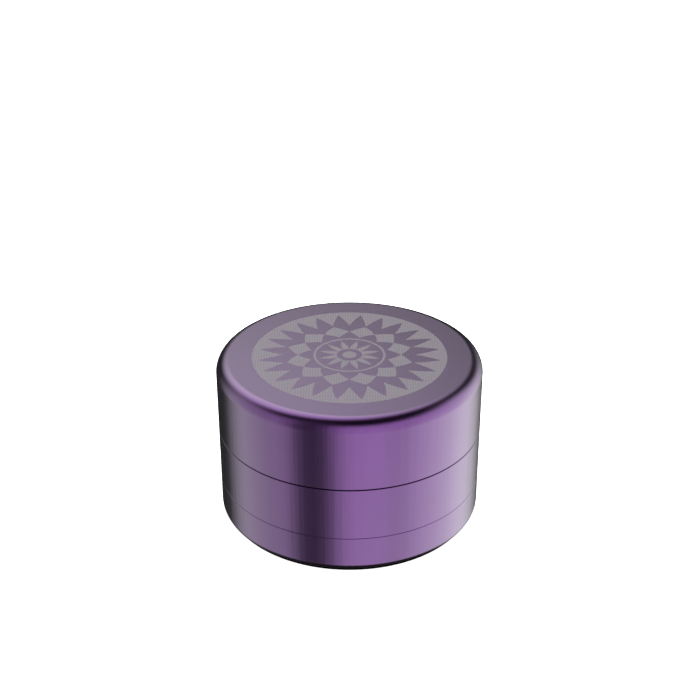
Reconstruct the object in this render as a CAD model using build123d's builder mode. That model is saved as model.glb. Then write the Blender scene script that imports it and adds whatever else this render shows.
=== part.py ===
"""Hand-twist herb and spice grinder with a milling plate, a sifting screen and a powder tray.

Millimetres, +Z up. The origin is the centre of the footprint on the table.
From the table upwards: a tray base, a collecting chamber that screws into it, a toothed milling plate
that drops into the chamber, and a deep lid that carries a toothed rotor and turns on a glide ring. The
teeth are solids of their own, which meet their plates face to face.
"""

import os
from math import isclose, pi

from build123d import *

# ------------------------------------------------------------------ outer shell
outer_diameter = 63.5
base_height = 9.6  # table to the lower seam
chamber_height = 13.0  # lower seam to upper seam
lid_height = 17.6  # upper seam to the top face
top_edge_radius = 3.1
bottom_edge_radius = 2.0
seam_break = 0.15  # small chamfers either side of each seam
lid_seam_gap = 0.2  # the lid rides this far above the chamber's shoulder

# ------------------------------------------------------------------ fits
slip_clearance = 0.2  # radial, between pieces that lift or turn past each other
seat_clearance = 0.05  # round pieces glued or pressed into pockets

# ------------------------------------------------------------------ base tray and foot ring
foot_stand = 0.4  # how far the foot ring holds the metal off the table
foot_groove_depth = 0.5
foot_ring_width = 4.0
foot_ring_inset = 1.2  # from the bottom edge's rounding
foot_ring_round = 0.15
floor_thickness = 1.8
tray_wall = 4.75
tray_depth = 2.4  # floor to the ledge below the thread
tray_corner_radius = 1.5

# ------------------------------------------------------------------ quick thread between base and chamber
thread_wall = 2.65  # outer surface to the base's thread bore
thread_height = 0.6
thread_clearance = 0.2  # radial, crest to root
thread_lead = 3.6
thread_starts = 3
thread_root_width = 0.74
thread_crest_width = 0.36
thread_embed = 0.12  # how far a ridge is sunk into its wall
thread_end_gap = 0.25  # from a ridge's ends to the ends of its wall
spigot_end_gap = 0.3  # below the chamber's spigot, above the tray's ledge
spigot_wall = 1.1
thread_seal_wire = 1.2
thread_seal_depth = 1.3
thread_seal_side_gap = 0.65  # the seal's counterbore beyond the thread bore

# ------------------------------------------------------------------ screen pack
screen_ring_thickness = 0.5
screen_ring_width = 1.5
mesh_thickness = 0.3
snap_wire = 0.8
snap_groove_depth = 0.3
snap_groove_lip = 0.45
snap_ring_opening = 26.0  # degrees

# ------------------------------------------------------------------ collecting chamber
chamber_wall = 5.95
mill_ledge_width = 2.5
mill_ledge_thickness = 1.5
mill_seat_rise = 0.9  # milling plate's seat above the upper seam
neck_wall = 1.5
neck_top_gap = 0.4  # between the chamber's neck and the rotor disc
neck_running_gap = 0.4  # between the chamber's neck and the lid's bore
lid_seal_wire = 1.0
lid_seal_groove_depth = 0.8
lid_seal_drop = 2.0  # below the top of the neck
locating_pin_diameter = 1.6
locating_pin_depth = 1.2
locating_pin_stand = 1.6
locating_pin_count = 3
locating_slot_clearance = 0.15

# ------------------------------------------------------------------ lid and glide ring
lid_skirt_wall = 2.55
lid_top_thickness = 3.2
glide_ring_thickness = 1.8
glide_ring_width = 1.0
glide_ring_side_gap = 0.15

# ------------------------------------------------------------------ milling plate and rotor
mill_plate_thickness = 2.6
rotor_thickness = 2.6
tooth_width = 2.6  # across the diamond, along the radius
tooth_length = 3.8  # along the direction of turning
tooth_taper = 3.0  # degrees
tooth_spacing = 10.5
tooth_ring_gap = 0.8  # between a ring of rotor teeth and the next ring of mill teeth
tooth_tip_gap = 0.8
hole_diameter = 3.8
hole_spacing = 6.6
boss_to_holes = 1.7
rotor_boss_drop = 1.6
boss_gap = 0.8
edge_ease = 0.3
teeth_symmetry = 3  # every ring has a multiple of this many teeth or holes

# ------------------------------------------------------------------ magnets, screws and drive pins
magnet_diameter = 8.0
magnet_height = 3.0
magnet_cap_rim = 0.7  # the cap laps this far over the boss around the magnet
magnet_cap_thickness = 0.3
boss_wall = 0.9  # around the cap
screw_diameter = 2.5
screw_head_diameter = 4.7
screw_engagement = 1.9
screw_socket_width = 1.5  # across flats
screw_socket_depth = 0.8
screw_count = 3
drive_pin_diameter = 2.5
drive_pin_engagement = 1.8
drive_pin_recess = 0.2
drive_pin_count = 3
hole_end_gap = 0.2  # blind holes run this much past what they hold

# ------------------------------------------------------------------ radii and heights worked out from these
outer_radius = outer_diameter / 2

base_underside = foot_stand
tray_floor = base_underside + floor_thickness
lower_seam = base_height
upper_seam = lower_seam + chamber_height
top_face = upper_seam + lid_height

tray_radius = outer_radius - tray_wall
foot_ring_outer = outer_radius - bottom_edge_radius - foot_ring_inset
foot_ring_inner = foot_ring_outer - foot_ring_width

thread_bore = outer_radius - thread_wall
thread_core = thread_bore - thread_height - thread_clearance
thread_pitch = thread_lead / thread_starts
tray_ledge = tray_floor + tray_depth
spigot_bottom = tray_ledge + spigot_end_gap
thread_top = lower_seam - thread_seal_depth
thread_seal_bore = thread_bore + thread_seal_side_gap

screen_seat_radius = thread_core - spigot_wall
screen_ring_outer = screen_seat_radius - seat_clearance
screen_ring_inner = screen_ring_outer - screen_ring_width
snap_groove_radius = screen_seat_radius + snap_groove_depth
snap_groove_bottom = spigot_bottom + snap_groove_lip
screen_lower_ring_bottom = snap_groove_bottom + snap_wire
mesh_bottom = screen_lower_ring_bottom + screen_ring_thickness
mesh_top = mesh_bottom + mesh_thickness
screen_seat_ceiling = mesh_top + screen_ring_thickness

chamber_bore = outer_radius - chamber_wall
lid_bore = outer_radius - lid_skirt_wall
neck_radius = lid_bore - neck_running_gap
mill_seat_radius = neck_radius - neck_wall
mill_plate_radius = mill_seat_radius - slip_clearance
mill_ledge_radius = mill_seat_radius - mill_ledge_width
mill_seat = upper_seam + mill_seat_rise
mill_top = mill_seat + mill_plate_thickness

lid_ceiling = top_face - lid_top_thickness
rotor_underside = lid_ceiling - rotor_thickness
rotor_radius = lid_bore - slip_clearance
neck_top = rotor_underside - neck_top_gap
lid_seal_height = neck_top - lid_seal_drop
lid_seal_groove_radius = neck_radius - lid_seal_groove_depth
tooth_height = rotor_underside - tooth_tip_gap - mill_top

glide_ring_inner = lid_bore - seat_clearance
glide_ring_outer = glide_ring_inner + glide_ring_width
lid_rebate_radius = glide_ring_outer + glide_ring_side_gap
glide_ring_top = upper_seam + glide_ring_thickness
lid_mouth = upper_seam + lid_seam_gap

magnet_cap_diameter = magnet_diameter + 2 * magnet_cap_rim
boss_radius = magnet_cap_diameter / 2 + boss_wall
rotor_boss_underside = rotor_underside - rotor_boss_drop
mill_boss_top = rotor_boss_underside - boss_gap

# Rings of teeth are counted outwards from the boss. The rotor has the even rings, which sweep the plate's
# holes, and the milling plate has the odd ones.
first_ring_radius = boss_radius + boss_to_holes + hole_diameter / 2
tooth_ring_pitch = tooth_width + tooth_ring_gap
ring_count = int((mill_ledge_radius - hole_diameter / 2 - first_ring_radius) / tooth_ring_pitch) + 1
ring_radii = [first_ring_radius + index * tooth_ring_pitch for index in range(ring_count)]
rotor_rings = ring_radii[0::2]
mill_rings = ring_radii[1::2]


def count_on_ring(radius, spacing):
    """How many teeth or holes stand on a ring, in multiples of the plates' symmetry."""
    groups = round(2 * pi * radius / (spacing * teeth_symmetry))
    return teeth_symmetry * max(1, groups)


# The locating pins stand between two of the outermost holes, and the rotor's screws between two of its
# second ring of teeth. The drive pins share the screws' circle, halfway between them.
locating_pin_circle = mill_seat_radius - mill_ledge_width / 2
locating_pin_angle = 180 / count_on_ring(rotor_rings[-1], hole_spacing)
fixing_circle = ring_radii[1]
screw_angle = 180 / count_on_ring(ring_radii[2], tooth_spacing)
drive_pin_angle = screw_angle + 180 / screw_count


def circles(part, radius, height):
    """The circular edges of a turned part that have this radius and height."""
    return (
        part.edges()
        .filter_by(GeomType.CIRCLE)
        .filter_by(lambda e: isclose(e.radius, radius, abs_tol=1e-4))
        .filter_by(lambda e: isclose(e.arc_center.Z, height, abs_tol=1e-4))
    )


def facing_down(height):
    """A plane at this height whose drawing side looks down, with X kept where it was."""
    return Plane(origin=(0, 0, height), x_dir=(1, 0, 0), z_dir=(0, 0, -1))


def thread_ridges(root_radius, crest_side, bottom, top, phase):
    """Blunt-ended helical ridges, one for each start, standing out (+1) or in (-1) from a wall."""
    first = bottom + thread_end_gap + thread_root_width / 2
    last = top - thread_end_gap - thread_root_width / 2
    with BuildPart() as one_ridge:
        with BuildLine() as path:
            Helix(
                pitch=thread_lead,
                height=last - first,
                radius=root_radius,
                center=(0, 0, first),
            )
        with BuildSketch(Plane(path.line @ 0, x_dir=(1, 0, 0), z_dir=path.line % 0)):
            with BuildLine():
                Polyline(
                    (-crest_side * thread_embed, -thread_root_width / 2),
                    (0, -thread_root_width / 2),
                    (crest_side * thread_height, -thread_crest_width / 2),
                    (crest_side * thread_height, thread_crest_width / 2),
                    (0, thread_root_width / 2),
                    (-crest_side * thread_embed, thread_root_width / 2),
                    close=True,
                )
            make_face()
        sweep(path=path.line, is_frenet=True)
    with BuildPart() as ridges:
        with PolarLocations(0, thread_starts, 360 * (first - phase) / thread_lead):
            add(one_ridge.part)
    return ridges.part


# ------------------------------------------------------------------ foot ring
# Black rubber ring set in a groove of the base, which the grinder stands on.
with BuildPart() as foot_ring:
    with BuildSketch(Plane.XY):
        Circle(foot_ring_outer - seat_clearance)
        Circle(foot_ring_inner + seat_clearance, mode=Mode.SUBTRACT)
    extrude(amount=base_underside + foot_groove_depth)
    fillet(foot_ring.faces().sort_by(Axis.Z)[0].edges(), foot_ring_round)
foot_ring.part.label = "foot_ring"

# ------------------------------------------------------------------ base tray
# Shallow turned tray that catches the powder. Its mouth has the outer half of the quick thread, and a
# plain counterbore above the thread for the seal.
tray_thread = thread_ridges(
    thread_bore,
    -1,
    tray_ledge,
    thread_top,
    tray_ledge + thread_pitch / 2,
)

with BuildPart() as base_tray:
    with BuildSketch(Plane.XZ):
        with BuildLine():
            Polyline(
                (0, base_underside),
                (outer_radius, base_underside),
                (outer_radius, lower_seam),
                (thread_seal_bore, lower_seam),
                (thread_seal_bore, thread_top),
                (thread_bore, thread_top),
                (thread_bore, tray_ledge),
                (tray_radius, tray_ledge),
                (tray_radius, tray_floor),
                (0, tray_floor),
                close=True,
            )
        make_face()
    revolve(axis=Axis.Z)
    fillet(circles(base_tray, outer_radius, base_underside), bottom_edge_radius)
    fillet(circles(base_tray, tray_radius, tray_floor), tray_corner_radius)
    fillet(circles(base_tray, tray_radius, tray_ledge), edge_ease)
    chamfer(circles(base_tray, outer_radius, lower_seam), seam_break)
    chamfer(circles(base_tray, thread_seal_bore, lower_seam), seam_break)
    with BuildSketch(Plane.XY.offset(base_underside)):
        Circle(foot_ring_outer)
        Circle(foot_ring_inner, mode=Mode.SUBTRACT)
    extrude(amount=foot_groove_depth, mode=Mode.SUBTRACT)
    add(tray_thread)
base_tray.part.label = "base_tray"

# ------------------------------------------------------------------ thread seal ring
# Rubber ring at the root of the chamber's spigot. It keeps powder out of the seam and stops rattle.
with BuildPart() as thread_seal_ring:
    with Locations((0, 0, lower_seam - thread_seal_wire / 2 - seat_clearance)):
        Torus(thread_core + seat_clearance + thread_seal_wire / 2, thread_seal_wire / 2)
thread_seal_ring.part.label = "thread_seal_ring"

# ------------------------------------------------------------------ chamber body
# Turned ring that collects the ground herb. The threaded spigot below it screws into the base, and the
# neck above it holds the milling plate and centres the lid.
spigot_thread = thread_ridges(thread_core, 1, spigot_bottom, thread_top, tray_ledge)
mill_ledge_underside = mill_seat - mill_ledge_thickness
mill_ledge_run_in = chamber_bore - mill_ledge_radius

with BuildPart() as chamber_body:
    with BuildSketch(Plane.XZ):
        with BuildLine():
            Polyline(
                (screen_seat_radius, spigot_bottom),
                (thread_core, spigot_bottom),
                (thread_core, lower_seam),
                (outer_radius, lower_seam),
                (outer_radius, upper_seam),
                (neck_radius, upper_seam),
                (neck_radius, neck_top),
                (mill_seat_radius, neck_top),
                (mill_seat_radius, mill_seat),
                (mill_ledge_radius, mill_seat),
                (mill_ledge_radius, mill_ledge_underside),
                (chamber_bore, mill_ledge_underside - mill_ledge_run_in),
                (chamber_bore, screen_seat_ceiling),
                (screen_seat_radius, screen_seat_ceiling),
                close=True,
            )
        make_face()
    revolve(axis=Axis.Z)
    chamfer(circles(chamber_body, outer_radius, lower_seam), seam_break)
    chamfer(circles(chamber_body, outer_radius, upper_seam), seam_break)
    chamfer(circles(chamber_body, neck_radius, neck_top), edge_ease)
    chamfer(circles(chamber_body, mill_seat_radius, neck_top), edge_ease)
    with BuildSketch(Plane.XY.offset(snap_groove_bottom)):
        Circle(snap_groove_radius)
    extrude(amount=snap_wire, mode=Mode.SUBTRACT)
    with BuildSketch(Plane.XY.offset(lid_seal_height - lid_seal_wire / 2 - seat_clearance)):
        Circle(neck_radius)
        Circle(lid_seal_groove_radius, mode=Mode.SUBTRACT)
    extrude(amount=lid_seal_wire + 2 * seat_clearance, mode=Mode.SUBTRACT)
    with Locations(Plane.XY.offset(mill_seat)):
        with PolarLocations(locating_pin_circle, locating_pin_count, locating_pin_angle):
            Hole(locating_pin_diameter / 2, locating_pin_depth)
    add(spigot_thread)
chamber_body.part.label = "chamber_body"

# ------------------------------------------------------------------ locating pins
# Steel pins pressed into the ledge. They stop the milling plate turning with the rotor.
with BuildPart() as locating_pins:
    with BuildSketch(Plane.XY.offset(mill_seat - locating_pin_depth)):
        with PolarLocations(locating_pin_circle, locating_pin_count, locating_pin_angle):
            Circle(locating_pin_diameter / 2)
    extrude(amount=locating_pin_depth + locating_pin_stand)
    chamfer(locating_pins.edges().group_by(Axis.Z)[-1], edge_ease)
locating_pins.part.label = "locating_pins"

# ------------------------------------------------------------------ lid seal ring
# Rubber ring in the neck's groove. It gives the lid a soft, tight turn.
with BuildPart() as lid_seal_ring:
    with Locations((0, 0, lid_seal_height)):
        Torus(
            lid_seal_groove_radius + seat_clearance + lid_seal_wire / 2,
            lid_seal_wire / 2,
        )
lid_seal_ring.part.label = "lid_seal_ring"

# ------------------------------------------------------------------ screen pack
# Woven mesh clamped between two flat steel rings and held up by a wire snap ring in the spigot's groove.
with BuildPart() as screen_lower_ring:
    with BuildSketch(Plane.XY.offset(screen_lower_ring_bottom)):
        Circle(screen_ring_outer)
        Circle(screen_ring_inner, mode=Mode.SUBTRACT)
    extrude(amount=screen_ring_thickness)
screen_lower_ring.part.label = "screen_lower_ring"

with BuildPart() as screen_mesh:
    with BuildSketch(Plane.XY.offset(mesh_bottom)):
        Circle(screen_ring_outer - seat_clearance)
    extrude(amount=mesh_thickness)
screen_mesh.part.label = "screen_mesh"

with BuildPart() as screen_upper_ring:
    with BuildSketch(Plane.XY.offset(mesh_top)):
        Circle(screen_ring_outer)
        Circle(screen_ring_inner, mode=Mode.SUBTRACT)
    extrude(amount=screen_ring_thickness)
screen_upper_ring.part.label = "screen_upper_ring"

with BuildPart() as screen_snap_ring:
    with BuildLine(Plane.XY.offset(snap_groove_bottom + snap_wire / 2)) as snap_path:
        CenterArc(
            (0, 0),
            snap_groove_radius - seat_clearance - snap_wire / 2,
            snap_ring_opening / 2,
            360 - snap_ring_opening,
        )
    with BuildSketch(Plane(snap_path.line @ 0, z_dir=snap_path.line % 0)):
        Circle(snap_wire / 2)
    sweep(path=snap_path.line)
screen_snap_ring.part.label = "screen_snap_ring"

# ------------------------------------------------------------------ milling plate
# Drop-in disc with rings of holes and a boss for a magnet. Slots in its rim drop over the locating pins.
locating_slot_radius = locating_pin_diameter / 2 + locating_slot_clearance

with BuildPart() as mill_plate:
    with BuildSketch(Plane.XY.offset(mill_seat)):
        Circle(mill_plate_radius)
    extrude(amount=mill_plate_thickness)
    chamfer(circles(mill_plate, mill_plate_radius, mill_top), edge_ease)
    with BuildSketch(Plane.XY.offset(mill_seat)):
        for ring_radius in rotor_rings:
            with PolarLocations(ring_radius, count_on_ring(ring_radius, hole_spacing)):
                Circle(hole_diameter / 2)
        with PolarLocations(locating_pin_circle, locating_pin_count, locating_pin_angle):
            Circle(locating_slot_radius)
            Rectangle(
                mill_plate_radius - locating_pin_circle + locating_slot_radius,
                2 * locating_slot_radius,
                align=(Align.MIN, Align.CENTER),
            )
    extrude(amount=mill_plate_thickness, mode=Mode.SUBTRACT)
    with BuildSketch(Plane.XY.offset(mill_top)):
        Circle(boss_radius)
    extrude(amount=mill_boss_top - mill_top)
    chamfer(circles(mill_plate, boss_radius, mill_boss_top), edge_ease)
    with Locations(Plane.XY.offset(mill_boss_top)):
        CounterBoreHole(
            magnet_diameter / 2 + seat_clearance,
            magnet_cap_diameter / 2 + seat_clearance,
            magnet_cap_thickness,
            magnet_cap_thickness + magnet_height,
        )
mill_plate.part.label = "mill_plate"

# Diamond teeth stand on the plate between its rings of holes, each a solid of its own, with sharp corners
# leading and trailing.
tooth_outline = (
    (tooth_width / 2, 0),
    (0, tooth_length / 2),
    (-tooth_width / 2, 0),
    (0, -tooth_length / 2),
)

with BuildPart() as mill_teeth:
    with BuildSketch(Plane.XY.offset(mill_top)):
        for ring_radius in mill_rings:
            with PolarLocations(ring_radius, count_on_ring(ring_radius, tooth_spacing)):
                Polygon(*tooth_outline)
    extrude(amount=tooth_height, taper=tooth_taper)
mill_teeth.part.label = "mill_teeth"

with BuildPart() as mill_magnet:
    with BuildSketch(Plane.XY.offset(mill_boss_top - magnet_cap_thickness - magnet_height)):
        Circle(magnet_diameter / 2)
    extrude(amount=magnet_height)
mill_magnet.part.label = "mill_magnet"

with BuildPart() as mill_magnet_cap:
    with BuildSketch(Plane.XY.offset(mill_boss_top - magnet_cap_thickness)):
        Circle(magnet_cap_diameter / 2)
    extrude(amount=magnet_cap_thickness)
mill_magnet_cap.part.label = "mill_magnet_cap"

# ------------------------------------------------------------------ glide ring
# Slippery plastic ring on the chamber's shoulder. The lid rests and turns on it.
with BuildPart() as glide_ring:
    with BuildSketch(Plane.XY.offset(upper_seam)):
        Circle(glide_ring_outer)
        Circle(glide_ring_inner, mode=Mode.SUBTRACT)
    extrude(amount=glide_ring_thickness)
glide_ring.part.label = "glide_ring"

# ------------------------------------------------------------------ lid shell
# Deep turned cap. Its mouth is rebated to sit over the glide ring, and its ceiling has blind holes for
# the rotor's screws and drive pins.
with BuildPart() as lid_shell:
    with BuildSketch(Plane.XZ):
        with BuildLine():
            Polyline(
                (0, lid_ceiling),
                (lid_bore, lid_ceiling),
                (lid_bore, glide_ring_top),
                (lid_rebate_radius, glide_ring_top),
                (lid_rebate_radius, lid_mouth),
                (outer_radius, lid_mouth),
                (outer_radius, top_face),
                (0, top_face),
                close=True,
            )
        make_face()
    revolve(axis=Axis.Z)
    fillet(circles(lid_shell, outer_radius, top_face), top_edge_radius)
    chamfer(circles(lid_shell, outer_radius, lid_mouth), seam_break)
    with Locations(facing_down(lid_ceiling)):
        with PolarLocations(fixing_circle, screw_count, -screw_angle):
            Hole(screw_diameter / 2 + seat_clearance, screw_engagement + hole_end_gap)
        with PolarLocations(fixing_circle, drive_pin_count, -drive_pin_angle):
            Hole(drive_pin_diameter / 2, drive_pin_engagement + hole_end_gap)
lid_shell.part.label = "lid_shell"

# ------------------------------------------------------------------ rotor plate
# Disc under the lid's ceiling, with its magnet in the boss at the middle.
with BuildPart() as rotor_plate:
    with BuildSketch(Plane.XY.offset(rotor_underside)):
        Circle(rotor_radius)
    extrude(amount=rotor_thickness)
    chamfer(circles(rotor_plate, rotor_radius, rotor_underside), edge_ease)
    with BuildSketch(Plane.XY.offset(rotor_boss_underside)):
        Circle(boss_radius)
    extrude(amount=rotor_boss_drop)
    chamfer(circles(rotor_plate, boss_radius, rotor_boss_underside), edge_ease)
    with Locations(facing_down(rotor_boss_underside)):
        CounterBoreHole(
            magnet_diameter / 2 + seat_clearance,
            magnet_cap_diameter / 2 + seat_clearance,
            magnet_cap_thickness,
            magnet_cap_thickness + magnet_height,
        )
    with Locations(facing_down(rotor_underside)):
        with PolarLocations(fixing_circle, screw_count, -screw_angle):
            CounterSinkHole(
                screw_diameter / 2 + seat_clearance,
                screw_head_diameter / 2 + seat_clearance,
                rotor_thickness,
            )
        with PolarLocations(fixing_circle, drive_pin_count, -drive_pin_angle):
            Hole(drive_pin_diameter / 2, rotor_thickness)
rotor_plate.part.label = "rotor_plate"

# The teeth hang from the plate and sweep over the milling plate's holes, between its teeth.
with BuildPart() as rotor_teeth:
    with BuildSketch(facing_down(rotor_underside)):
        for ring_radius in rotor_rings:
            with PolarLocations(ring_radius, count_on_ring(ring_radius, tooth_spacing)):
                Polygon(*tooth_outline)
    extrude(amount=tooth_height, taper=tooth_taper)
rotor_teeth.part.label = "rotor_teeth"

with BuildPart() as rotor_magnet:
    with BuildSketch(Plane.XY.offset(rotor_boss_underside + magnet_cap_thickness)):
        Circle(magnet_diameter / 2)
    extrude(amount=magnet_height)
rotor_magnet.part.label = "rotor_magnet"

with BuildPart() as rotor_magnet_cap:
    with BuildSketch(Plane.XY.offset(rotor_boss_underside)):
        Circle(magnet_cap_diameter / 2)
    extrude(amount=magnet_cap_thickness)
rotor_magnet_cap.part.label = "rotor_magnet_cap"

# ------------------------------------------------------------------ rotor screws and drive pins
# Countersunk socket screws pull the rotor against the ceiling, and dowels carry the twist.
screw_head_height = (screw_head_diameter - screw_diameter) / 2
screw_length = rotor_thickness + screw_engagement

with BuildPart() as one_screw:
    with BuildSketch(Plane.XZ):
        with BuildLine():
            Polyline(
                (0, 0),
                (screw_head_diameter / 2, 0),
                (screw_diameter / 2, screw_head_height),
                (screw_diameter / 2, screw_length),
                (0, screw_length),
                close=True,
            )
        make_face()
    revolve(axis=Axis.Z)
    with BuildSketch(Plane.XY):
        RegularPolygon(screw_socket_width / 2, 6, major_radius=False)
    extrude(amount=screw_socket_depth, mode=Mode.SUBTRACT)

with BuildPart() as rotor_screws:
    with Locations(Plane.XY.offset(rotor_underside)):
        with PolarLocations(fixing_circle, screw_count, screw_angle):
            add(one_screw.part)
rotor_screws.part.label = "rotor_screws"

with BuildPart() as rotor_drive_pins:
    with BuildSketch(Plane.XY.offset(rotor_underside + drive_pin_recess)):
        with PolarLocations(fixing_circle, drive_pin_count, drive_pin_angle):
            Circle(drive_pin_diameter / 2)
    extrude(amount=rotor_thickness - drive_pin_recess + drive_pin_engagement)
rotor_drive_pins.part.label = "rotor_drive_pins"

# ------------------------------------------------------------------ export
pieces = (
    foot_ring,
    base_tray,
    thread_seal_ring,
    chamber_body,
    locating_pins,
    lid_seal_ring,
    screen_lower_ring,
    screen_mesh,
    screen_upper_ring,
    screen_snap_ring,
    mill_plate,
    mill_teeth,
    mill_magnet,
    mill_magnet_cap,
    glide_ring,
    lid_shell,
    rotor_plate,
    rotor_teeth,
    rotor_magnet,
    rotor_magnet_cap,
    rotor_screws,
    rotor_drive_pins,
)

os.makedirs("parts", exist_ok=True)
for piece in pieces:
    export_step(piece.part, f"parts/{piece.part.label}.step")
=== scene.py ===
"""Looks of a hand-twist herb and spice grinder, in metres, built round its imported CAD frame.

The sections follow the grinder as it is put together, from the foot ring up to the lid.
"""

from math import acos, ceil, cos, degrees, hypot, pi, radians, sin, tan

import bmesh
import bpy
from mathutils import Matrix, Vector


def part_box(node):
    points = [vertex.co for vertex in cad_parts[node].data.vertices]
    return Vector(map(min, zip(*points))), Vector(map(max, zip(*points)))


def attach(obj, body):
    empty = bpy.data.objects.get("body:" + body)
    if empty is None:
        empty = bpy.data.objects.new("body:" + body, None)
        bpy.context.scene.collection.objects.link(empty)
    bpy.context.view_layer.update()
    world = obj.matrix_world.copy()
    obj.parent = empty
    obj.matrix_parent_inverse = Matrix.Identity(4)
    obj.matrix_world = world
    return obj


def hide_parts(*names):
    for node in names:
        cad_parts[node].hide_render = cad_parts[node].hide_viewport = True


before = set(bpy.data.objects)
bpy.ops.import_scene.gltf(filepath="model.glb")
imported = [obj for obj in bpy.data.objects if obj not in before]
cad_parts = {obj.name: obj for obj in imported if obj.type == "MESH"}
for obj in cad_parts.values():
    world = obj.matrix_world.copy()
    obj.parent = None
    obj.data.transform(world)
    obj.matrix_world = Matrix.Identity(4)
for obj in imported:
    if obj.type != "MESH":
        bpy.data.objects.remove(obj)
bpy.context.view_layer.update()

# ------------------------------------------------------------------ foot ring
# Black silicone ring that the grinder stands on. It is moulded flat, pressed into a groove turned in the
# base's underside, and stands a little proud of the metal. The two seals further up are the same silicone.
mm = 0.001


class Signal:
    """One value that varies over a surface or along a path. Arithmetic on it adds Math nodes."""

    def __init__(self, bench, socket):
        self.bench = bench
        self.socket = socket

    def math(self, operation, *others):
        values = {place: value for place, value in enumerate((self, *others))}
        return self.bench.node("ShaderNodeMath", {"operation": operation}, values)["Value"]

    def __add__(self, other):
        return self.math("ADD", other)

    def __mul__(self, other):
        return self.math("MULTIPLY", other)

    def __sub__(self, other):
        return self.math("SUBTRACT", other)

    def __truediv__(self, other):
        return self.math("DIVIDE", other)

    def __pow__(self, other):
        return self.math("POWER", other)

    def __rsub__(self, other):
        return self * -1 + other

    def __neg__(self):
        return self * -1

    __radd__ = __add__
    __rmul__ = __mul__

    def between(self, low, high):
        """0 at low, 1 at high, with a soft change from one to the other. Low may be above high."""
        soft = {"interpolation_type": "SMOOTHSTEP"}
        ends = {"Value": self, "From Min": low, "From Max": high}
        return self.bench.node("ShaderNodeMapRange", soft, ends)["Result"]


class Bench:
    """A node tree that is filled one node at a time."""

    def node(self, kind, settings=None, values=None):
        """Adds a node, makes its settings, then sets or links its sockets. Gives its outputs by name."""
        made = self.tree.nodes.new(kind)
        for name, setting in (settings or {}).items():
            setattr(made, name, setting)
        for name, value in (values or {}).items():
            for each in value if isinstance(value, list) else [value]:
                if isinstance(each, Signal):
                    self.tree.links.new(each.socket, made.inputs[name])
                else:
                    made.inputs[name].default_value = each
        return {output.name: Signal(self, output) for output in made.outputs if output.enabled}


class Finish(Bench):
    """The finish of one material, worked out from the point's place on the object, in millimetres."""

    def __init__(self, name):
        self.material = bpy.data.materials.new(name)
        self.material.use_nodes = True
        self.tree = self.material.node_tree
        self.tree.nodes.clear()
        place = self.node("ShaderNodeTexCoord")["Object"]
        scaled = {"operation": "SCALE"}
        self.place = self.node("ShaderNodeVectorMath", scaled, {0: place, "Scale": 1 / mm})["Vector"]
        axes = self.node("ShaderNodeSeparateXYZ", None, {0: self.place})
        self.x, self.y, self.z = axes["X"], axes["Y"], axes["Z"]
        self.radius = (self.x**2 + self.y**2) ** 0.5

    def mottle(self, size, detail=2.0, stretch=(1, 1, 1), turned=False):
        """Cloudy variation round 0.5, with lumps of this size. It may follow the turned form instead."""
        where = self.place
        if turned:
            where = self.node("ShaderNodeCombineXYZ", None, {0: self.radius, 2: self.z})["Vector"]
        drawn = {0: where, 1: stretch}
        where = self.node("ShaderNodeVectorMath", {"operation": "MULTIPLY"}, drawn)["Vector"]
        values = {"Vector": where, "Scale": 1 / size, "Detail": detail}
        return self.node("ShaderNodeTexNoise", None, values)["Fac"]

    def tint(self, factor, low, high):
        """A colour between two others."""
        values = {"Factor": factor, 6: (*low, 1), 7: (*high, 1)}
        return self.node("ShaderNodeMix", {"data_type": "RGBA"}, values)["Result"]

    def relief(self, height, depth):
        """Surface normals for a relief that is this many millimetres deep."""
        values = {"Height": height, "Distance": depth * mm, "Strength": 1.0}
        return self.node("ShaderNodeBump", None, values)["Normal"]

    def shader(self, **values):
        """A Principled shader. Sockets are named in lower case, such as base_color."""
        named = {}
        for name, value in values.items():
            named[name.replace("_", " ").title().replace("Ior", "IOR")] = value
        return self.node("ShaderNodeBsdfPrincipled", None, named)["BSDF"]

    def mixed(self, factor, below, above):
        return self.node("ShaderNodeMixShader", None, {0: factor, 1: below, 2: above})["Shader"]

    def finished(self, shader):
        self.node("ShaderNodeOutputMaterial", None, {"Surface": shader})
        return self.material


def dress(material, *names):
    """Gives CAD nodes a material in place of the plain one that they come with."""
    for name in names:
        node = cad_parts[name]
        node.data.materials.clear()
        node.data.materials.append(material)


def black_silicone():
    """Moulded rubber with a matt skin and a faint bloom."""
    finish = Finish("black_silicone")
    bloom = finish.mottle(3.0)
    skin = finish.mottle(0.12, detail=1.0)
    return finish.finished(
        finish.shader(
            base_color=finish.tint(bloom, (0.012, 0.012, 0.013), (0.024, 0.024, 0.025)),
            roughness=bloom * 0.16 + 0.48,
            normal=finish.relief(skin, 0.01),
        )
    )


silicone = black_silicone()
dress(silicone, "foot_ring")

# ------------------------------------------------------------------ base tray
# Shallow tray turned from aluminium bar, bead-blasted and anodised purple. It catches the powder, and
# its mouth has the outer half of a three-start quick thread.
base_low, base_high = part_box("base_tray")
foot_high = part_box("foot_ring")[1]
outer_radius = base_high.x / mm
underside = base_low.z / mm
lower_seam = base_high.z / mm

seat_clearance = 0.05
foot_groove_width = 4.0
bottom_edge_round = 2.0
floor_thickness = 1.8
tray_wall = 4.75
tray_depth = 2.4
tray_corner_round = 1.5
thread_wall = 2.65
thread_seal_recess = 1.3
thread_seal_side_gap = 0.65
machined_edge = 0.15
inner_edge = 0.08
sides_per_turn = 192
degrees_per_facet = 18

tray_floor = underside + floor_thickness
tray_ledge = tray_floor + tray_depth
thread_bore = outer_radius - thread_wall
thread_top = lower_seam - thread_seal_recess
foot_groove_outer = foot_high.x / mm + seat_clearance


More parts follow.
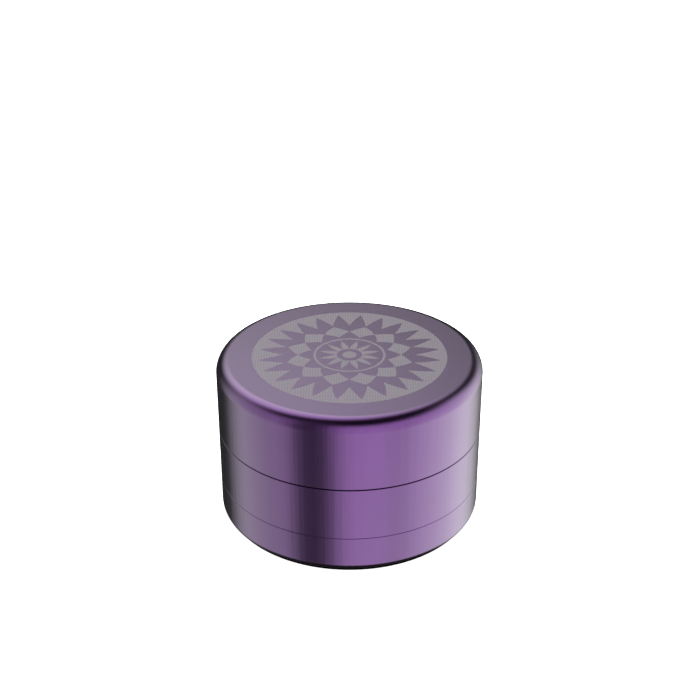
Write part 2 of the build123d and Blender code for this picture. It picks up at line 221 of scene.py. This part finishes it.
def rounded(corners):
    """Outline of a turned piece with each corner (radius, height, rounding) replaced by an arc."""
    outline = []
    for index, (radius, height, rounding) in enumerate(corners):
        here = Vector((radius, height))
        if not rounding:
            outline.append(here)
            continue
        before = (Vector(corners[index - 1][:2]) - here).normalized()
        after = (Vector(corners[(index + 1) % len(corners)][:2]) - here).normalized()
        half = acos(before.dot(after)) / 2
        centre = here + (before + after).normalized() * rounding / sin(half)
        first = here + before * rounding / tan(half) - centre
        turn = first.angle_signed(here + after * rounding / tan(half) - centre)
        steps = max(3, ceil(degrees(abs(turn)) / degrees_per_facet * max(1, rounding**0.5)))
        for step in range(steps + 1):
            outline.append(centre + first @ Matrix.Rotation(turn * step / steps, 2))
    return outline


def turned(name, corners, material, body, node, slot):
    """A solid of revolution about Z, which rides on its body and stands for its CAD node."""
    form = bmesh.new()
    rings = []
    for radius, height in rounded(corners):
        on_axis = radius < 1e-6
        turns = [2 * pi * side / sides_per_turn for side in range(1 if on_axis else sides_per_turn)]
        ring = [form.verts.new((radius * cos(a) * mm, radius * sin(a) * mm, height * mm)) for a in turns]
        rings.append(ring * sides_per_turn if on_axis else ring)
    pairs = list(zip(rings, rings[1:]))
    if corners[0][0] > 0:
        pairs.append((rings[-1], rings[0]))
    for ring, following in pairs:
        for side in range(sides_per_turn):
            after = (side + 1) % sides_per_turn
            loop = (ring[side], ring[after], following[after], following[side])
            form.faces.new(list(dict.fromkeys(loop)))
    bmesh.ops.recalc_face_normals(form, faces=form.faces)
    for face in form.faces:
        face.smooth = True
    mesh = bpy.data.meshes.new(name)
    form.to_mesh(mesh)
    form.free()
    mesh.materials.append(material)
    piece = bpy.data.objects.new(name, mesh)
    bpy.context.scene.collection.objects.link(piece)
    flats = piece.modifiers.new("flats_stay_flat", "WEIGHTED_NORMAL")
    flats.weight = 100
    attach(piece, body)
    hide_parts(node)
    return piece


sheen_sharpness = 1.8
sheen_least = 0.01
sheen_growth = 0.95


def anodised_sheen(finish):
    """How far the clear oxide film hides the dye: almost not at all face on, and nearly all at a glance."""
    facing = finish.node("ShaderNodeLayerWeight", None, {"Blend": 0.5})["Facing"]
    return facing**sheen_sharpness * sheen_growth + sheen_least


dyed_colour = (0.21, 0.081, 0.305)
dye_spread = 0.12
film_colour = (0.96, 0.925, 0.985)
blast_grain = 0.16
dye_cloud = 9.0
streak_width = 1.1
streaks_fade = (1.5, 0.3)
skin_relief = 0.012


def purple_anodised(name, etching=None):
    """Bead-blasted and dyed aluminium, whose outer wall has faint upright streaks.

    An etching is a function that gives its shader and its mask.
    """
    finish = Finish(name)
    blast = finish.mottle(blast_grain, detail=3.0)
    cloud = finish.mottle(dye_cloud)
    on_wall = finish.radius.between(*(outer_radius - inward for inward in streaks_fade))
    streaks = (finish.mottle(streak_width, stretch=(1, 1, 0.02), detail=3.0) - 0.5) * on_wall
    grain = finish.relief(blast * 0.35 + streaks * 2, skin_relief)
    deep = tuple((1 - dye_spread) * part for part in dyed_colour)
    light = tuple((1 + dye_spread) * part for part in dyed_colour)
    shade = (cloud - 0.5) * 0.4 + streaks * 0.8 + 0.5
    satin = blast * 0.06 + streaks * 0.06 + 0.19
    dye = finish.shader(
        base_color=finish.tint(shade, deep, light), metallic=1.0, roughness=satin, normal=grain
    )
    film = finish.shader(base_color=(*film_colour, 1), metallic=1.0, roughness=satin, normal=grain)
    skin = finish.mixed(anodised_sheen(finish), dye, film)
    if etching:
        bare, mask = etching(finish)
        skin = finish.mixed(mask, skin, bare)
    return finish.finished(skin)


anodised = purple_anodised("purple_anodised")
turned(
    "tray_body",
    [
        (0, underside, 0),
        (foot_groove_outer - foot_groove_width, underside, inner_edge),
        (foot_groove_outer - foot_groove_width, foot_high.z / mm, 0),
        (foot_groove_outer, foot_high.z / mm, 0),
        (foot_groove_outer, underside, inner_edge),
        (outer_radius, underside, bottom_edge_round),
        (outer_radius, lower_seam, machined_edge),
        (thread_bore + thread_seal_side_gap, lower_seam, machined_edge),
        (thread_bore + thread_seal_side_gap, thread_top, 0),
        (thread_bore, thread_top, inner_edge),
        (thread_bore, tray_ledge, 0),
        (outer_radius - tray_wall, tray_ledge, 2 * inner_edge),
        (outer_radius - tray_wall, tray_floor, tray_corner_round),
        (0, tray_floor, 0),
    ],
    anodised,
    "base",
    "base_tray",
    "anodised_purple",
)


class Jig(Bench):
    """A Geometry Nodes tree with named sizes, in millimetres, which makes one plain mesh."""

    def __init__(self, name, **sizes):
        self.name = name
        self.tree = bpy.data.node_groups.new(name, "GeometryNodeTree")
        self.sizes = {}
        for size, value in sizes.items():
            kind = "NodeSocketInt" if isinstance(value, int) else "NodeSocketFloat"
            socket = self.tree.interface.new_socket(size, in_out="INPUT", socket_type=kind)
            self.sizes[socket.identifier] = value
        self.tree.interface.new_socket("piece", in_out="OUTPUT", socket_type="NodeSocketGeometry")
        self.size = self.node("NodeGroupInput")

    def vector(self, x=0.0, y=0.0, z=0.0):
        return self.node("ShaderNodeCombineXYZ", None, {0: x, 1: y, 2: z})["Vector"]

    def moved(self, geometry, shift=(0, 0, 0), turn=(0, 0, 0), scale=(1, 1, 1)):
        values = {0: geometry, "Translation": shift, "Rotation": turn, "Scale": scale}
        return self.node("GeometryNodeTransform", None, values)["Geometry"]

    def placed(self, geometry, points, turn=(0, 0, 0)):
        """Copies of a piece at each point."""
        values = {"Points": points, "Instance": geometry, "Rotation": turn}
        copies = self.node("GeometryNodeInstanceOnPoints", None, values)["Instances"]
        return self.node("GeometryNodeRealizeInstances", None, {0: copies})["Geometry"]

    def joined(self, pieces):
        return self.node("GeometryNodeJoinGeometry", None, {0: pieces})["Geometry"]

    def swept(self, path, profile, scale=1.0):
        """A closed bar with this profile along a path."""
        values = {"Curve": path, "Profile Curve": profile, "Scale": scale, "Fill Caps": True}
        return self.node("GeometryNodeCurveToMesh", None, values)["Mesh"]

    def made(self, geometry, material, body, slot, replaces=(), crease=30):
        """Ends the tree, turns what it makes into a plain mesh, and hands that to its body."""
        metres = self.moved(geometry, scale=(mm, mm, mm))
        real = self.node("GeometryNodeRealizeInstances", None, {0: metres})["Geometry"]
        done = self.node("GeometryNodeSetMaterial", None, {0: real, "Material": material})["Geometry"]
        self.node("NodeGroupOutput", None, {0: done})
        blank = bpy.data.meshes.new(self.name)
        piece = bpy.data.objects.new(self.name, blank)
        bpy.context.scene.collection.objects.link(piece)
        modifier = piece.modifiers.new(self.name, "NODES")
        modifier.node_group = self.tree
        for identifier, value in self.sizes.items():
            modifier[identifier] = value
        graph = bpy.context.evaluated_depsgraph_get()
        mesh = bpy.data.meshes.new_from_object(piece.evaluated_get(graph), depsgraph=graph)
        piece.modifiers.remove(modifier)
        piece.data = mesh
        mesh.materials.clear()
        mesh.materials.append(material)
        form = bmesh.new()
        form.from_mesh(mesh)
        bmesh.ops.remove_doubles(form, verts=form.verts, dist=1e-7)
        bmesh.ops.recalc_face_normals(form, faces=form.faces)
        for face in form.faces:
            face.smooth = True
            face.material_index = 0
        for edge in form.edges:
            edge.smooth = edge.calc_face_angle(0) < radians(crease)
        form.to_mesh(mesh)
        form.free()
        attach(piece, body)
        if replaces:
            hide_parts(*replaces)
        return piece


thread_lead = 3.6
thread_starts = 3
thread_height = 0.6
thread_root_width = 0.74
thread_crest_width = 0.36
thread_end_gap = 0.25
thread_sunk_share = 0.3
thread_edge_ease = 0.07
run_out_share = 0.06
run_out_size = 0.25
points_per_turn = 96


def quick_thread(name, wall_radius, side, bottom, top, phase, material, body, slot):
    """Three helical ridges on a wall, standing out (+1) or in (-1). Their ends run out into the wall."""
    first = bottom + thread_end_gap + thread_root_width / 2
    last = top - thread_end_gap - thread_root_width / 2
    jig = Jig(
        name,
        wall_radius=wall_radius,
        turns=(last - first) / thread_lead,
        rise=last - first,
        first_height=first,
        starts=thread_starts,
        first_angle=2 * pi * (first - phase) / thread_lead,
        ridge_height=thread_height,
        root_width=thread_root_width,
        crest_width=thread_crest_width,
    )
    size = jig.size
    spiral = {
        "Resolution": points_per_turn,
        "Rotations": size["turns"],
        "Start Radius": size["wall_radius"],
        "End Radius": size["wall_radius"],
        "Height": size["rise"],
        "Reverse": True,
    }
    path = jig.node("GeometryNodeCurveSpiral", None, spiral)["Curve"]
    path = jig.node("GeometryNodeSetCurveNormal", {"mode": "Z_UP"}, {0: path})["Curve"]
    depth = 1 + thread_sunk_share
    foot_width = size["crest_width"] + (size["root_width"] - size["crest_width"]) * depth
    section = {
        "Bottom Width": size["crest_width"] if side > 0 else foot_width,
        "Top Width": foot_width if side > 0 else size["crest_width"],
        "Height": size["ridge_height"] * depth,
        "Offset": 0.0,
    }
    profile = jig.node("GeometryNodeCurvePrimitiveQuadrilateral", {"mode": "TRAPEZOID"}, section)["Curve"]
    profile = jig.moved(profile, turn=(0, 0, pi / 2))
    eased = {"Curve": profile, "Count": 2, "Radius": thread_edge_ease, "Limit Radius": True}
    profile = jig.node("GeometryNodeFilletCurve", {"mode": "POLY"}, eased)["Curve"]
    off_wall = size["ridge_height"] * (side * (1 - thread_sunk_share) / 2)
    profile = jig.moved(profile, shift=jig.vector(x=off_wall))
    along = jig.node("GeometryNodeSplineParameter")["Factor"]
    full = along.between(0.0, run_out_share) * along.between(1.0, 1 - run_out_share)
    ridge = jig.swept(path, profile, full * (1 - run_out_size) + run_out_size)
    points = jig.node("GeometryNodePoints", None, {"Count": size["starts"]})["Points"]
    start = jig.node("GeometryNodeInputIndex")["Index"]
    turn = jig.vector(z=start * (2 * pi / thread_starts) + size["first_angle"])
    ridges = jig.placed(ridge, points, turn)
    ridges = jig.moved(ridges, shift=jig.vector(z=size["first_height"]))
    return jig.made(ridges, material, body, slot)


thread_pitch = thread_lead / thread_starts
quick_thread(
    "tray_thread",
    thread_bore,
    -1,
    tray_ledge,
    thread_top,
    tray_ledge + thread_pitch / 2,
    anodised,
    "base",
    "anodised_purple",
)

# ------------------------------------------------------------------ thread seal ring
# Silicone ring moulded to size and stretched over the root of the chamber's spigot. It is pinched in the
# tray's recess when the thread is home, keeps powder out of the seam and stops rattle.
dress(silicone, "thread_seal_ring")

# ------------------------------------------------------------------ chamber body
# Ring turned from the same bar and anodised with the tray. Its threaded spigot screws into the tray, and
# its neck holds the milling plate and centres the lid.
chamber_low, chamber_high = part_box("chamber_body")
screen_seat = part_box("screen_upper_ring")[1]
snap_low, snap_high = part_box("screen_snap_ring")
mill_low, mill_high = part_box("mill_plate")
rotor_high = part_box("rotor_plate")[1]
seal_low, seal_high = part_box("lid_seal_ring")
upper_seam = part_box("glide_ring")[0].z / mm
spigot_bottom = chamber_low.z / mm
neck_top = chamber_high.z / mm
mill_seat = mill_low.z / mm

slip_clearance = 0.2
thread_clearance = 0.2
neck_running_gap = 0.4
chamber_wall = 5.95
mill_ledge_width = 2.5
mill_ledge_thickness = 1.5
neck_edge = 0.3

thread_core = thread_bore - thread_height - thread_clearance
screen_seat_radius = screen_seat.x / mm + seat_clearance
snap_groove_radius = snap_high.y / mm + seat_clearance
chamber_bore = outer_radius - chamber_wall
lid_bore = rotor_high.x / mm + slip_clearance
neck_radius = lid_bore - neck_running_gap
mill_seat_radius = mill_high.x / mm + slip_clearance
mill_ledge_radius = mill_seat_radius - mill_ledge_width
mill_ledge_underside = mill_seat - mill_ledge_thickness
seal_groove_radius = (seal_high.x - (seal_high.z - seal_low.z)) / mm - seat_clearance

turned(
    "chamber_shell",
    [
        (screen_seat_radius, spigot_bottom, inner_edge),
        (thread_core, spigot_bottom, machined_edge),
        (thread_core, lower_seam, 0),
        (outer_radius, lower_seam, machined_edge),
        (outer_radius, upper_seam, machined_edge),
        (neck_radius, upper_seam, 0),
        (neck_radius, seal_low.z / mm - seat_clearance, inner_edge),
        (seal_groove_radius, seal_low.z / mm - seat_clearance, 0),
        (seal_groove_radius, seal_high.z / mm + seat_clearance, 0),
        (neck_radius, seal_high.z / mm + seat_clearance, inner_edge),
        (neck_radius, neck_top, neck_edge),
        (mill_seat_radius, neck_top, neck_edge),
        (mill_seat_radius, mill_seat, 0),
        (mill_ledge_radius, mill_seat, inner_edge),
        (mill_ledge_radius, mill_ledge_underside, inner_edge),
        (chamber_bore, mill_ledge_underside - (chamber_bore - mill_ledge_radius), inner_edge),
        (chamber_bore, screen_seat.z / mm, inner_edge),
        (screen_seat_radius, screen_seat.z / mm, 0),
        (screen_seat_radius, snap_high.z / mm, 0),
        (snap_groove_radius, snap_high.z / mm, 0),
        (snap_groove_radius, snap_low.z / mm, 0),
        (screen_seat_radius, snap_low.z / mm, 0),
    ],
    anodised,
    "chamber",
    "chamber_body",
    "anodised_purple",
)
quick_thread(
    "spigot_thread",
    thread_core,
    1,
    spigot_bottom,
    thread_top,
    tray_ledge,
    anodised,
    "chamber",
    "anodised_purple",
)

# ------------------------------------------------------------------ locating pins and lid seal ring
# Ground steel pins pressed into the chamber's ledge, which stop the milling plate from turning, and a
# silicone ring in a groove of the neck, which gives the lid its soft, tight turn.


def stainless(name, lay, rough):
    """Stainless steel with the fine marks of its making. Lay is 1 across the marks and less along them."""
    finish = Finish(name)
    marks = finish.mottle(0.05, stretch=lay, turned=True)
    cloud = finish.mottle(4.0)
    return finish.finished(
        finish.shader(
            base_color=finish.tint(cloud, (0.56, 0.55, 0.53), (0.66, 0.65, 0.63)),
            metallic=1.0,
            roughness=marks * 0.14 + rough,
            normal=finish.relief(marks, 0.002),
        )
    )


ground_steel = stainless("ground_steel", (0.1, 0.1, 1.0), 0.16)
dress(ground_steel, "locating_pins")
dress(silicone, "lid_seal_ring")

# ------------------------------------------------------------------ screen pack
# Plain-woven stainless wire cloth, clamped between two blanked steel rings. A round-wire snap ring in
# the spigot's groove holds the pack up.
screen_pitch = 0.7
screen_wire = 0.15
count_margin = 0.5  # a count is rounded down from a number that may lie a hair below it


def woven_screen(steel):
    """Weft wires that rise and dip by turns, cut round, and the same wires turned over as the warp."""
    low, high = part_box("screen_mesh")
    jig = Jig(
        "woven_screen",
        cut_radius=high.x / mm,
        height=(low.z + high.z) / 2 / mm,
        pitch=screen_pitch,
        wire=screen_wire,
    )
    size = jig.size
    half_count = (size["cut_radius"] / size["pitch"]).math("FLOOR")
    reach = half_count * size["pitch"]
    ends = {"Start": jig.vector(x=-reach), "End": jig.vector(x=reach)}
    wire = jig.node("GeometryNodeCurvePrimitiveLine", None, ends)["Curve"]
    crossings_and_halfways = half_count * 4 + (1 + count_margin)
    wire = jig.node("GeometryNodeResampleCurve", None, {0: wire, "Count": crossings_and_halfways})["Curve"]
    row = {
        "Count": half_count * 2 + (1 + count_margin),
        "Start Location": jig.vector(y=-reach),
        "Offset": jig.vector(y=size["pitch"]),
    }
    row = jig.node("GeometryNodeMeshLine", {"mode": "OFFSET"}, row)["Mesh"]
    weft = jig.placed(wire, row)
    place = jig.node("ShaderNodeSeparateXYZ", None, {0: jig.node("GeometryNodeInputPosition")["Position"]})
    outside = (place["X"] ** 2 + place["Y"] ** 2 - size["cut_radius"] ** 2).math("GREATER_THAN", 0.0)
    weft = jig.node("GeometryNodeDeleteGeometry", {"domain": "POINT"}, {0: weft, 1: outside})["Geometry"]
    over_and_under = (place["X"] / size["pitch"] * pi).math("COSINE")
    by_turns = (place["Y"] / size["pitch"] * pi).math("COSINE")
    lift = jig.vector(z=over_and_under * by_turns * size["wire"] / 2)
    weft = jig.node("GeometryNodeSetPosition", None, {0: weft, "Offset": lift})["Geometry"]
    section = {"Resolution": 4, "Radius": size["wire"] / 2}
    section = jig.node("GeometryNodeCurvePrimitiveCircle", None, section)["Curve"]
    weft = jig.swept(weft, section)
    warp = jig.moved(weft, turn=(pi, 0, pi / 2))
    cloth = jig.moved(jig.joined([weft, warp]), shift=jig.vector(z=size["height"]))
    return jig.made(cloth, steel, "chamber", "stainless", ["screen_mesh"], crease=100)


drawn_wire = stainless("drawn_wire", (0.3, 0.3, 0.3), 0.2)
woven_screen(drawn_wire)
blanked_steel = stainless("blanked_steel", (1.0, 0.1, 0.1), 0.24)
dress(drawn_wire, "screen_snap_ring")
dress(blanked_steel, "screen_lower_ring", "screen_upper_ring")

# ------------------------------------------------------------------ milling plate
# Disc turned and drilled from plate, then clear anodised. Three slots in its rim drop over the locating
# pins, and diamond teeth stand between its rings of holes. A nickel-plated magnet sits in its boss, under
# a thin steel cap that is glued in.
tooth_width = 2.6
tooth_length = 3.8
tooth_taper = radians(3)
tooth_edge = 0.14
tooth_tip_ease = 0.14
tooth_sections = 6
tooth_spacing = 10.5
ring_step = 6.8
teeth_symmetry = 3


def clear_anodised(name, lay, turned_marks):
    """Cutter marks under a clear oxide film."""
    finish = Finish(name)
    marks = finish.mottle(0.11, stretch=lay, turned=turned_marks, detail=3.0)
    cloud = finish.mottle(5.0)
    return finish.finished(
        finish.shader(
            base_color=finish.tint(cloud, (0.66, 0.66, 0.68), (0.76, 0.76, 0.78)),
            metallic=1.0,
            roughness=marks * 0.18 + 0.24,
            normal=finish.relief(marks, 0.008),
        )
    )


def diamond_teeth(node, first_ring, ring_count, hanging, material, body):
    """Rings of tapered diamond teeth, which stand on one plate or hang from the other."""
    low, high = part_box(node)
    inset = (high.z - low.z) / mm * tan(tooth_taper)
    flat_to_centre = tooth_width / 2 * tooth_length / 2 / hypot(tooth_width / 2, tooth_length / 2)
    jig = Jig(
        node + "_cut",
        first_ring=first_ring,
        ring_step=ring_step,
        spacing=tooth_spacing,
        symmetry=float(teeth_symmetry),
        plate_height=(high.z if hanging else low.z) / mm,
        tooth_height=(high.z - low.z) / mm,
        tooth_width=tooth_width,
        tooth_length=tooth_length,
        tip_share=1 - inset / flat_to_centre,
        edge=tooth_edge,
    )
    size = jig.size
    diamond = {"Width": size["tooth_width"]}
    diamond["Bottom Height"] = size["tooth_length"] / 2
    diamond["Top Height"] = size["tooth_length"] / 2
    diamond = jig.node("GeometryNodeCurvePrimitiveQuadrilateral", {"mode": "KITE"}, diamond)["Curve"]
    eased = {"Curve": diamond, "Count": 2, "Radius": size["edge"], "Limit Radius": True}
    diamond = jig.node("GeometryNodeFilletCurve", {"mode": "POLY"}, eased)["Curve"]
    stem = jig.node("GeometryNodeCurvePrimitiveLine")["Curve"]
    stem = jig.node("GeometryNodeResampleCurve", None, {0: stem, "Count": tooth_sections})["Curve"]
    step = jig.node("GeometryNodeSplineParameter")["Index"] / (tooth_sections - 1)
    rise = 1 - (1 - step) ** 2
    place = jig.vector(z=rise * size["tooth_height"])
    stem = jig.node("GeometryNodeSetPosition", None, {0: stem, "Position": place})["Geometry"]
    at_tip = step.math("GREATER_THAN", 0.99)
    tooth = jig.swept(stem, diamond, 1 - rise * (1 - size["tip_share"]) - at_tip * tooth_tip_ease)
    if hanging:
        tooth = jig.moved(tooth, turn=(pi, 0, 0))
    around = jig.node("ShaderNodeSeparateXYZ", None, {0: jig.node("GeometryNodeInputPosition")["Position"]})
    facing_out = jig.vector(z=around["Y"].math("ARCTAN2", around["X"]))
    rings = []
    for ring in range(ring_count):
        radius = size["first_ring"] + size["ring_step"] * ring
        groups = (radius * 2 * pi / (size["spacing"] * size["symmetry"])).math("ROUND")
        circle = {"Vertices": groups * size["symmetry"] + count_margin, "Radius": radius}
        circle = jig.node("GeometryNodeMeshCircle", None, circle)["Mesh"]
        rings.append(jig.placed(tooth, circle, facing_out))
    teeth = jig.moved(jig.joined(rings), shift=jig.vector(z=size["plate_height"]))
    return jig.made(teeth, material, body, "clear_anodised", [node])


def nickel_plate():
    """Bright plating with the scuffs of handling."""
    finish = Finish("nickel_plate")
    cloud = finish.mottle(2.5)
    scuffs = finish.mottle(0.3, stretch=(1.0, 0.15, 1.0), detail=4.0)
    return finish.finished(
        finish.shader(
            base_color=finish.tint(cloud, (0.66, 0.63, 0.58), (0.74, 0.71, 0.66)),
            metallic=1.0,
            roughness=scuffs * 0.2 + 0.06,
            normal=finish.relief(scuffs, 0.001),
        )
    )


turned_plate = clear_anodised("turned_plate", (1.0, 0.1, 0.1), True)
milled_tooth = clear_anodised("milled_tooth", (0.08, 0.08, 1.0), False)
magnet_nickel = nickel_plate()
boss_radius = 5.6
boss_to_first_ring = 3.6
tooth_ring_gap = ring_step / 2
rotor_first_ring = boss_radius + boss_to_first_ring
dress(turned_plate, "mill_plate")
diamond_teeth("mill_teeth", rotor_first_ring + tooth_ring_gap, 2, False, milled_tooth, "mill")
dress(magnet_nickel, "mill_magnet")
dress(blanked_steel, "mill_magnet_cap")

# ------------------------------------------------------------------ glide ring
# White ring cut from a PTFE tube. It lies loose round the neck, on the chamber's shoulder, and the lid
# rests and turns on it.


def ptfe():
    """White, waxy plastic with the marks of the cutting-off tool."""
    finish = Finish("ptfe")
    cloud = finish.mottle(2.0)
    marks = finish.mottle(0.2, stretch=(1.0, 0.1, 1.0), turned=True)
    return finish.finished(
        finish.shader(
            base_color=finish.tint(cloud, (0.82, 0.82, 0.79), (0.9, 0.9, 0.88)),
            roughness=marks * 0.12 + 0.34,
            subsurface_weight=0.15,
            subsurface_scale=1 * mm,
            normal=finish.relief(marks, 0.006),
        )
    )


dress(ptfe(), "glide_ring")

# ------------------------------------------------------------------ lid shell
# Deep cap turned from the same bar, bead-blasted and anodised purple. A laser has burnt the dye out of its
# top in fine lines, which leaves a pale rosette.
lid_low, lid_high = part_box("lid_shell")
glide_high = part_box("glide_ring")[1]
top_face = lid_high.z / mm
lid_mouth = lid_low.z / mm
lid_ceiling = rotor_high.z / mm
glide_side_gap = 0.15
top_edge_round = 3.1
lid_rebate_radius = glide_high.x / mm + glide_side_gap

etched_bands = ((15.9, 23.2), (8.0, 8.6), (0, 1.7))
etched_lozenges = (12, 9.3, 15.2)
etched_rays = (12, 3.0, 7.3)
purple_rays = (24, 15.6, 21.6)
etched_softness = 0.12
laser_line = 0.62
laser_waver = 0.8
burnt_share = 0.85
line_contrast = 0.07


def etched_rosette(finish):
    """Shader of the bare, roughened metal, and the mask of where it shows."""
    share_of_turn = finish.y.math("ARCTAN2", finish.x) / (2 * pi)
    soft = etched_softness

    def ring(inner, outer):
        outside = finish.radius.between(outer + soft, outer - soft)
        return outside * finish.radius.between(inner - soft, inner + soft) if inner else outside

    def rays(count, inner, outer, narrowing):
        across = ((share_of_turn * count).math("FRACT") - 0.5).math("ABSOLUTE") * 2
        width = narrowing((finish.radius - inner) / (outer - inner))
        blur = soft * count / (pi * inner)
        return (width - across).between(-blur, blur) * ring(inner, outer)

    rim, line, centre = (ring(*band) for band in etched_bands)
    mask = rim * (1 - rays(*purple_rays, lambda out: 1 - out)) + line + centre
    mask = mask + rays(*etched_lozenges, lambda out: 1 - (out * 2 - 1).math("ABSOLUTE"))
    mask = mask + rays(*etched_rays, lambda out: 1 - out)
    on_top = finish.z.between(top_face - 0.4, top_face - 0.2)
    waver = finish.mottle(2.0) * laser_waver
    across = ((finish.y / laser_line + waver) * (2 * pi)).math("SINE")
    along = ((finish.x / laser_line + waver) * (2 * pi)).math("SINE")
    burnt = burnt_share + across * line_contrast + along * line_contrast
    mask = mask.math("MINIMUM", 1.0) * on_top * burnt
    frost = finish.mottle(0.12)
    bare = finish.shader(
        base_color=finish.tint(frost, (0.62, 0.575, 0.64), (0.76, 0.70, 0.78)),
        metallic=0.35,
        roughness=0.6,
        normal=finish.relief(frost, 0.006),
    )
    return bare, mask


turned(
    "lid_cap",
    [
        (0, lid_ceiling, 0),
        (lid_bore, lid_ceiling, 0),
        (lid_bore, glide_high.z / mm, inner_edge),
        (lid_rebate_radius, glide_high.z / mm, 0),
        (lid_rebate_radius, lid_mouth, inner_edge),
        (outer_radius, lid_mouth, machined_edge),
        (outer_radius, top_face, top_edge_round),
        (0, top_face, 0),
    ],
    purple_anodised("etched_lid", etched_rosette),
    "lid",
    "lid_shell",
    "anodised_purple",
)

# ------------------------------------------------------------------ rotor
# Disc of the same clear anodised plate under the lid's ceiling, with three rings of hanging teeth and the
# second magnet. Three countersunk screws hold it and three dowel pins drive it.
dress(turned_plate, "rotor_plate")
diamond_teeth("rotor_teeth", rotor_first_ring, 3, True, milled_tooth, "lid")
dress(magnet_nickel, "rotor_magnet")
dress(blanked_steel, "rotor_magnet_cap", "rotor_screws")
dress(ground_steel, "rotor_drive_pins")

# ------------------------------------------------------------------ table and studio
# White table with a painted shadow under the base: a black patch where no light reaches, which the metal
# also mirrors. A large soft light stands above and behind the left shoulder. The metal mirrors a bright
# wall to the right and a dimmer one to the left.
table_reach = 3.0
painted_shadow_radius = outer_radius - 1.3
painted_shadow_lift = 0.03


def matt_board(name, shade, glow):
    """A board with no gloss, which may glow as an overlit one does."""
    finish = Finish(name)
    cloud = finish.mottle(400.0)
    return finish.finished(
        finish.shader(
            base_color=(shade, shade, shade, 1),
            roughness=cloud * 0.1 + 0.9,
            specular_ior_level=0.0,
            emission_color=(1, 1, 1, 1),
            emission_strength=glow,
        )
    )


def laid_flat(name, corners, material):
    """A flat face that belongs to the studio."""
    form = bmesh.new()
    form.faces.new([form.verts.new(corner) for corner in corners])
    mesh = bpy.data.meshes.new(name)
    form.to_mesh(mesh)
    form.free()
    mesh.materials.append(material)
    piece = bpy.data.objects.new(name, mesh)
    bpy.context.scene.collection.objects.link(piece)
    return piece


signs = ((-1, -1), (1, -1), (1, 1), (-1, 1))
table_corners = [(x * table_reach, y * table_reach, 0) for x, y in signs]
table = laid_flat("table", table_corners, matt_board("pale_table", 0.61, 1.0))
table.visible_glossy = False
# A black disc on the table just under the base. It is painted shade and stands in for the contact shadow.
painted_shadow_corners = []
for side in range(sides_per_turn):
    turn = 2 * pi * side / sides_per_turn
    painted_shadow_corners.append((painted_shadow_radius * cos(turn) * mm, painted_shadow_radius * sin(turn) * mm, painted_shadow_lift * mm))
laid_flat("contact_shadow_patch", painted_shadow_corners, matt_board("painted_contact_shadow", 0.0, 0.0))


class Studio(Bench):
    """What stands round the table, as brightness by direction."""

    def __init__(self):
        world = bpy.data.worlds.new("studio")
        world.use_nodes = True
        bpy.context.scene.world = world
        self.tree = world.node_tree
        self.tree.nodes.clear()
        self.towards = self.node("ShaderNodeTexCoord")["Generated"]
        axes = self.node("ShaderNodeSeparateXYZ", None, {0: self.towards})
        self.height = axes["Z"].math("ARCSINE") * (180 / pi)
        self.bearing = axes["X"].math("ARCTAN2", -axes["Y"]) * (180 / pi)

    def round_light(self, bearing, height, inner, outer, brightness):
        """A soft-edged round light. Bearing 0 is towards the camera's side, and 90 is towards +X."""
        turn, rise = radians(bearing), radians(height)
        middle = (cos(rise) * sin(turn), -cos(rise) * cos(turn), sin(rise))
        dot = {"operation": "DOT_PRODUCT"}
        along = self.node("ShaderNodeVectorMath", dot, {0: self.towards, 1: middle})["Value"]
        angle = along.math("ARCCOSINE") * (180 / pi)
        return angle.between(outer, inner) * brightness

    def wall(self, left, right, bottom, top, brightness):
        """A wall between two bearings and two heights, each a pair of where it starts and is full."""
        across = self.bearing.between(*left) * self.bearing.between(*right)
        return across * self.height.between(*bottom) * self.height.between(*top) * brightness


studio = Studio()
wall_foot = (-56, -38)
wall_head = (30, 5)
near_edge = (-27.5, 5)
room_glow = 0.02
light = (
    studio.round_light(bearing=-156, height=53, inner=10, outer=44, brightness=1.47)
    + studio.wall(left=near_edge, right=(166, 108), bottom=wall_foot, top=wall_head, brightness=1.33)
    - studio.wall(left=(24, 43), right=(64, 45), bottom=wall_foot, top=wall_head, brightness=0.2)
    + studio.wall(left=near_edge, right=(146, 102), bottom=(5, 30), top=(58, 24), brightness=1.2)
    + studio.wall(left=(-136, -100), right=(-38, -60), bottom=wall_foot, top=(58, 20), brightness=0.69)
    + studio.wall(left=(-75, -50), right=(5, -20), bottom=wall_foot, top=(80, 35), brightness=0.12)
    + room_glow
)
glow = studio.node("ShaderNodeBackground", None, {"Strength": light})["Background"]
white = studio.node("ShaderNodeBackground", None, {"Color": (1, 1, 1, 1)})["Background"]
seen = studio.node("ShaderNodeLightPath")["Is Camera Ray"]
around = studio.node("ShaderNodeMixShader", None, {0: seen, 1: glow, 2: white})["Shader"]
studio.node("ShaderNodeOutputWorld", None, {"Surface": around})

lamp_width = 0.3
lamp_power = 25
lamp_height = 1.0
overhead = bpy.data.lights.new("overhead", "AREA")
overhead.size = lamp_width
overhead.energy = lamp_power
overhead_lamp = bpy.data.objects.new("overhead", overhead)
overhead_lamp.location = (0, 0, lamp_height)
overhead_lamp.visible_glossy = False
overhead_lamp.visible_camera = False
bpy.context.scene.collection.objects.link(overhead_lamp)
lit_by_it = bpy.data.collections.new("lit_by_overhead")
lit_by_it.objects.link(table)
overhead_lamp.light_linking.receiver_collection = lit_by_it

# ------------------------------------------------------------------ camera
# Short telephoto lens about a third of a metre away, looking down at the grinder from the front. The
# colours are shown as they are, with no film curve.
lens_length = 65.43
camera_place = (0.00013, -0.268, 0.1802)
camera_dip = 27.37
camera = bpy.data.cameras.new("camera")
camera.lens = lens_length
camera.sensor_width = 36
camera.clip_start = 0.01
viewpoint = bpy.data.objects.new("camera", camera)
viewpoint.location = camera_place
viewpoint.rotation_euler = (radians(90 - camera_dip), 0, 0)
bpy.context.scene.collection.objects.link(viewpoint)
bpy.context.scene.camera = viewpoint
bpy.context.scene.view_settings.view_transform = "Standard"
